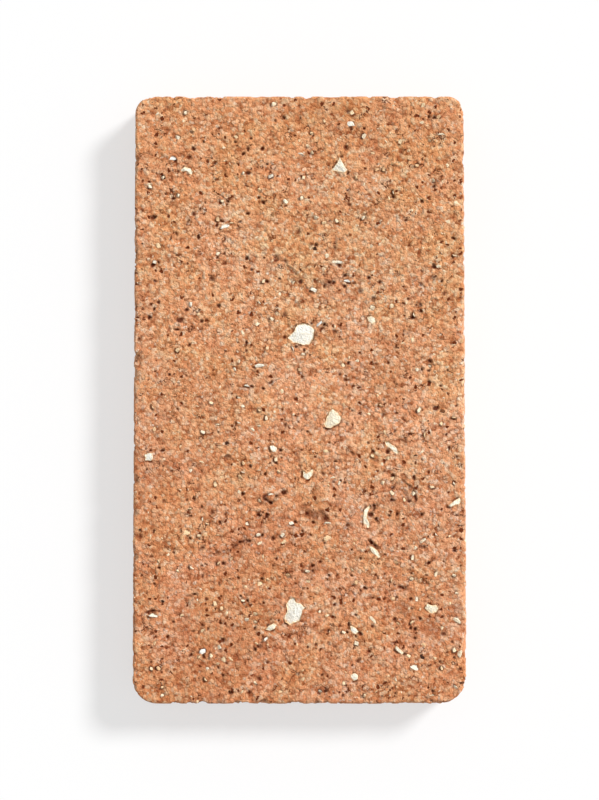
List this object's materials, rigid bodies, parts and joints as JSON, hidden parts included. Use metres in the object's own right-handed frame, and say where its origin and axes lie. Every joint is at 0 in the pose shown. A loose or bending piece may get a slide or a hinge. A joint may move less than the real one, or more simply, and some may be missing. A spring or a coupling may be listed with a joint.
{
  "type": "brick slip",
  "caption": "Thin flat rectangular fired-clay unit with rounded plan corners, worn edges and a wire-cut face, for facing a wall or paving a floor.",
  "frame": {"origin": "middle of the flat back, halfway along and across the slip, on the plane that lies on the bed or floor", "axes": "+X across the slip, +Y along it towards its slightly narrower rear end, +Z out of the wire-cut face that shows"},
  "size_m": [0.121, 0.22, 0.02],
  "materials": {
    "fired_clay": "matte",
    "grog": "matte"
  },
  "bodies": {
    "root": {"slip": "fired_clay"}
  },
  "joints": []
}
